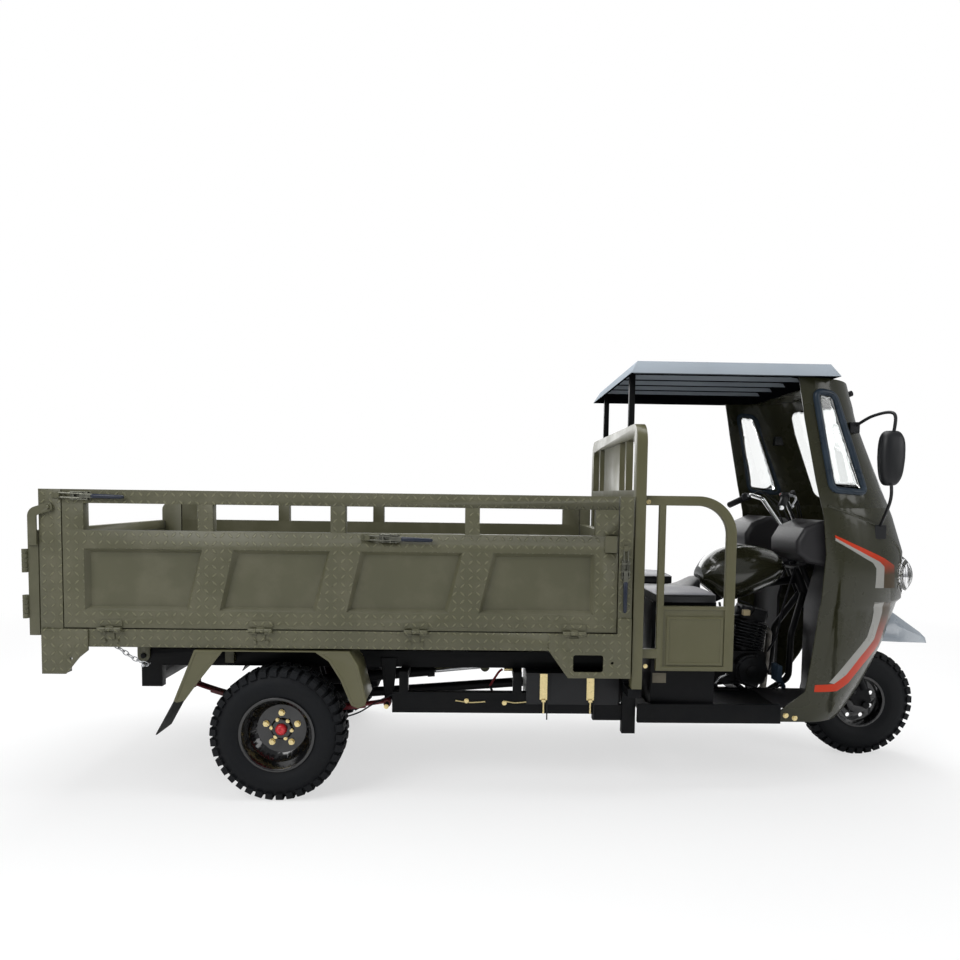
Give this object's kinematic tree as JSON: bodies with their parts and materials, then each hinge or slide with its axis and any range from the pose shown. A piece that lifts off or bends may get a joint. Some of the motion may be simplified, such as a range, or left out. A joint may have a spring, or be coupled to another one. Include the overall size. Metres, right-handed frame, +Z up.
{
  "type": "cargo tricycle",
  "caption": "Motorised cargo tricycle with a half-open cab, steered front wheel, tilting dump bed with drop sides and a top-hung tailgate with swing leaves.",
  "frame": {"origin": "on the ground, under the middle of the vehicle's length and width", "axes": "+X forward, +Y to the vehicle's left, +Z up"},
  "size_m": [4.23, 1.37, 1.948],
  "materials": {
    "olive": "semi-gloss olive drab paint",
    "olive_gloss": "gloss dark olive paint",
    "black_frame": "black chassis paint",
    "silver_paint": "pale silver paint",
    "tyre": "black rubber",
    "wheel_black": "gloss black",
    "steel": "bare steel",
    "engine_black": "black engine paint",
    "exhaust_steel": "heat-proof black",
    "tank_gloss": "gloss dark olive paint",
    "seat_vinyl": "black vinyl",
    "plastic_dark": "dark grey plastic",
    "glass": "clear glass",
    "lamp": "clear lens",
    "red_oxide": "dark red paint",
    "rubber": "black rubber",
    "grey_rubber": "pale worn flap"
  },
  "bodies": {
    "chassis": {"chassis_frame": "black_frame", "leaf_springs": "red_oxide", "rear_axle": "black_frame", "rear_fenders": "olive", "mud_flaps": "grey_rubber", "running_boards": "black_frame", "engine": "engine_black", "exhaust": "exhaust_steel", "fuel_tank": "tank_gloss", "driver_seat": "seat_vinyl", "side_seats": "seat_vinyl", "seat_boxes": "black_frame", "side_guard": "olive", "headboard": "olive", "roof_struts": "black_frame", "roof": "silver_paint", "cab_cowl": "olive_gloss", "window_frame": "olive_gloss", "windscreen": "glass", "side_glass": "glass", "leg_shield": "plastic_dark", "headlamps": "lamp", "mirrors": "plastic_dark", "brake_pedal": "steel", "tool_box": "black_frame"},
    "bed": {"bed_floor": "olive", "bed_frame": "olive", "bed_ends": "olive"},
    "side_right": {"drop_side_right": "olive"},
    "side_left": {"drop_side_left": "olive"},
    "tailgate": {"tailgate_frame": "olive"},
    "leaf_right": {"tailgate_leaf_right": "olive"},
    "leaf_left": {"tailgate_leaf_left": "olive"},
    "steering": {"fork": "black_frame", "handlebar": "black_frame", "handlebar_grips": "rubber", "front_mudguard": "silver_paint"},
    "front_wheel": {"front_tyre": "tyre", "front_wheel": "wheel_black"},
    "rear_wheel_right": {"rear_tyre_right": "tyre", "rear_wheel_right": "wheel_black"},
    "rear_wheel_left": {"rear_tyre_left": "tyre", "rear_wheel_left": "wheel_black"},
    "lift_barrel": {"lift_barrel": "black_frame"},
    "lift_rod": {"lift_rod": "steel"}
  },
  "joints": [
    {"name": "bed_tilt", "type": "hinge", "parent": "chassis", "child": "bed", "pos_m": [-1.716, 0, 0.57], "axis": [0, -1, 0], "range_deg": [0, 45]},
    {"name": "side_right_drop", "type": "hinge", "parent": "bed", "child": "side_right", "pos_m": [-0.767, -0.666, 0.737], "axis": [1, 0, 0], "range_deg": [0, 175]},
    {"name": "side_left_drop", "type": "hinge", "parent": "bed", "child": "side_left", "pos_m": [-0.767, 0.666, 0.737], "axis": [-1, 0, 0], "range_deg": [0, 175]},
    {"name": "tailgate_swing", "type": "hinge", "parent": "bed", "child": "tailgate", "pos_m": [-1.996, 0, 1.251], "axis": [0, 1, 0], "range_deg": [0, 90]},
    {"name": "leaf_right_swing", "type": "hinge", "parent": "tailgate", "child": "leaf_right", "pos_m": [-2.102, -0.652, 0.925], "axis": [0, 0, 1], "range_deg": [0, 175]},
    {"name": "leaf_left_swing", "type": "hinge", "parent": "tailgate", "child": "leaf_left", "pos_m": [-2.102, 0.652, 0.925], "axis": [0, 0, -1], "range_deg": [0, 175]},
    {"name": "steering", "type": "hinge", "parent": "chassis", "child": "steering", "pos_m": [1.767, 0, 0.279], "axis": [-0.4067, 0, 0.9135], "range_deg": [-35, 35]},
    {"name": "front_wheel_spin", "type": "hinge", "parent": "steering", "child": "front_wheel", "pos_m": [1.802, 0, 0.279], "axis": [0, 1, 0], "continuous": true},
    {"name": "rear_wheel_right_spin", "type": "hinge", "parent": "chassis", "child": "rear_wheel_right", "pos_m": [-1.044, -0.605, 0.287], "axis": [0, 1, 0], "continuous": true},
    {"name": "rear_wheel_left_spin", "type": "hinge", "parent": "chassis", "child": "rear_wheel_left", "pos_m": [-1.044, 0.605, 0.287], "axis": [0, 1, 0], "continuous": true},
    {"name": "lift_pivot", "type": "hinge", "parent": "chassis", "child": "lift_barrel", "pos_m": [-0.96, -0.17, 0.4], "axis": [0, -1, 0], "range_deg": [0, 65.6]},
    {"name": "lift_stroke", "type": "slide", "parent": "lift_barrel", "child": "lift_rod", "axis": [0.9952, 0, 0.0983], "range_m": [0, 0.47]}
  ],
  "couplings": [
    {"joint": "lift_pivot", "follows": "bed_tilt", "ratio": 1.4551},
    {"joint": "lift_stroke", "follows": "bed_tilt", "m_per_rad": 0.5968}
  ]
}
